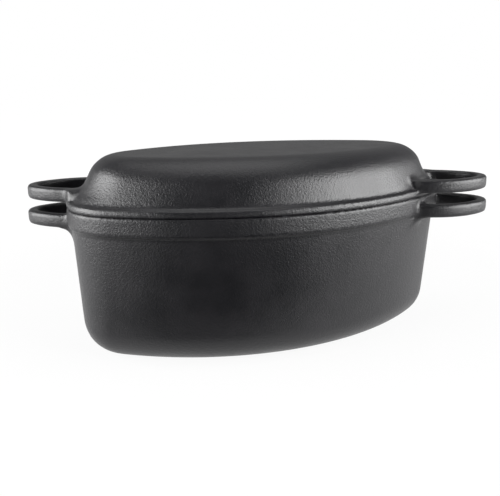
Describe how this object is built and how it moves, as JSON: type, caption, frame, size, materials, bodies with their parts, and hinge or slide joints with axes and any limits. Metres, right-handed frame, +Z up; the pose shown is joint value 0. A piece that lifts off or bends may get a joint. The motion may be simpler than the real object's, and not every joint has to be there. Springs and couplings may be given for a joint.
{
  "type": "roaster",
  "caption": "Deep oval cast iron roasting pot with a domed lid that lifts off, each with an open loop handle at both ends; the lid also stands upside down as a pan.",
  "frame": {"origin": "centre of the pot's flat base, on the plane that it stands on", "axes": "+X along the oval's long axis, +Y across it, +Z up through the lid"},
  "size_m": [0.3856, 0.1838, 0.1641],
  "materials": {
    "cast_iron": "seasoned black, fine sand-cast grain, satin"
  },
  "bodies": {
    "pot": {"pot": "cast_iron"},
    "lid": {"lid": "cast_iron"}
  },
  "joints": [
    {"name": "lid_lift", "type": "slide", "parent": "pot", "child": "lid", "axis": [0, 0, 1], "range_m": [0, 0.12]}
  ]
}
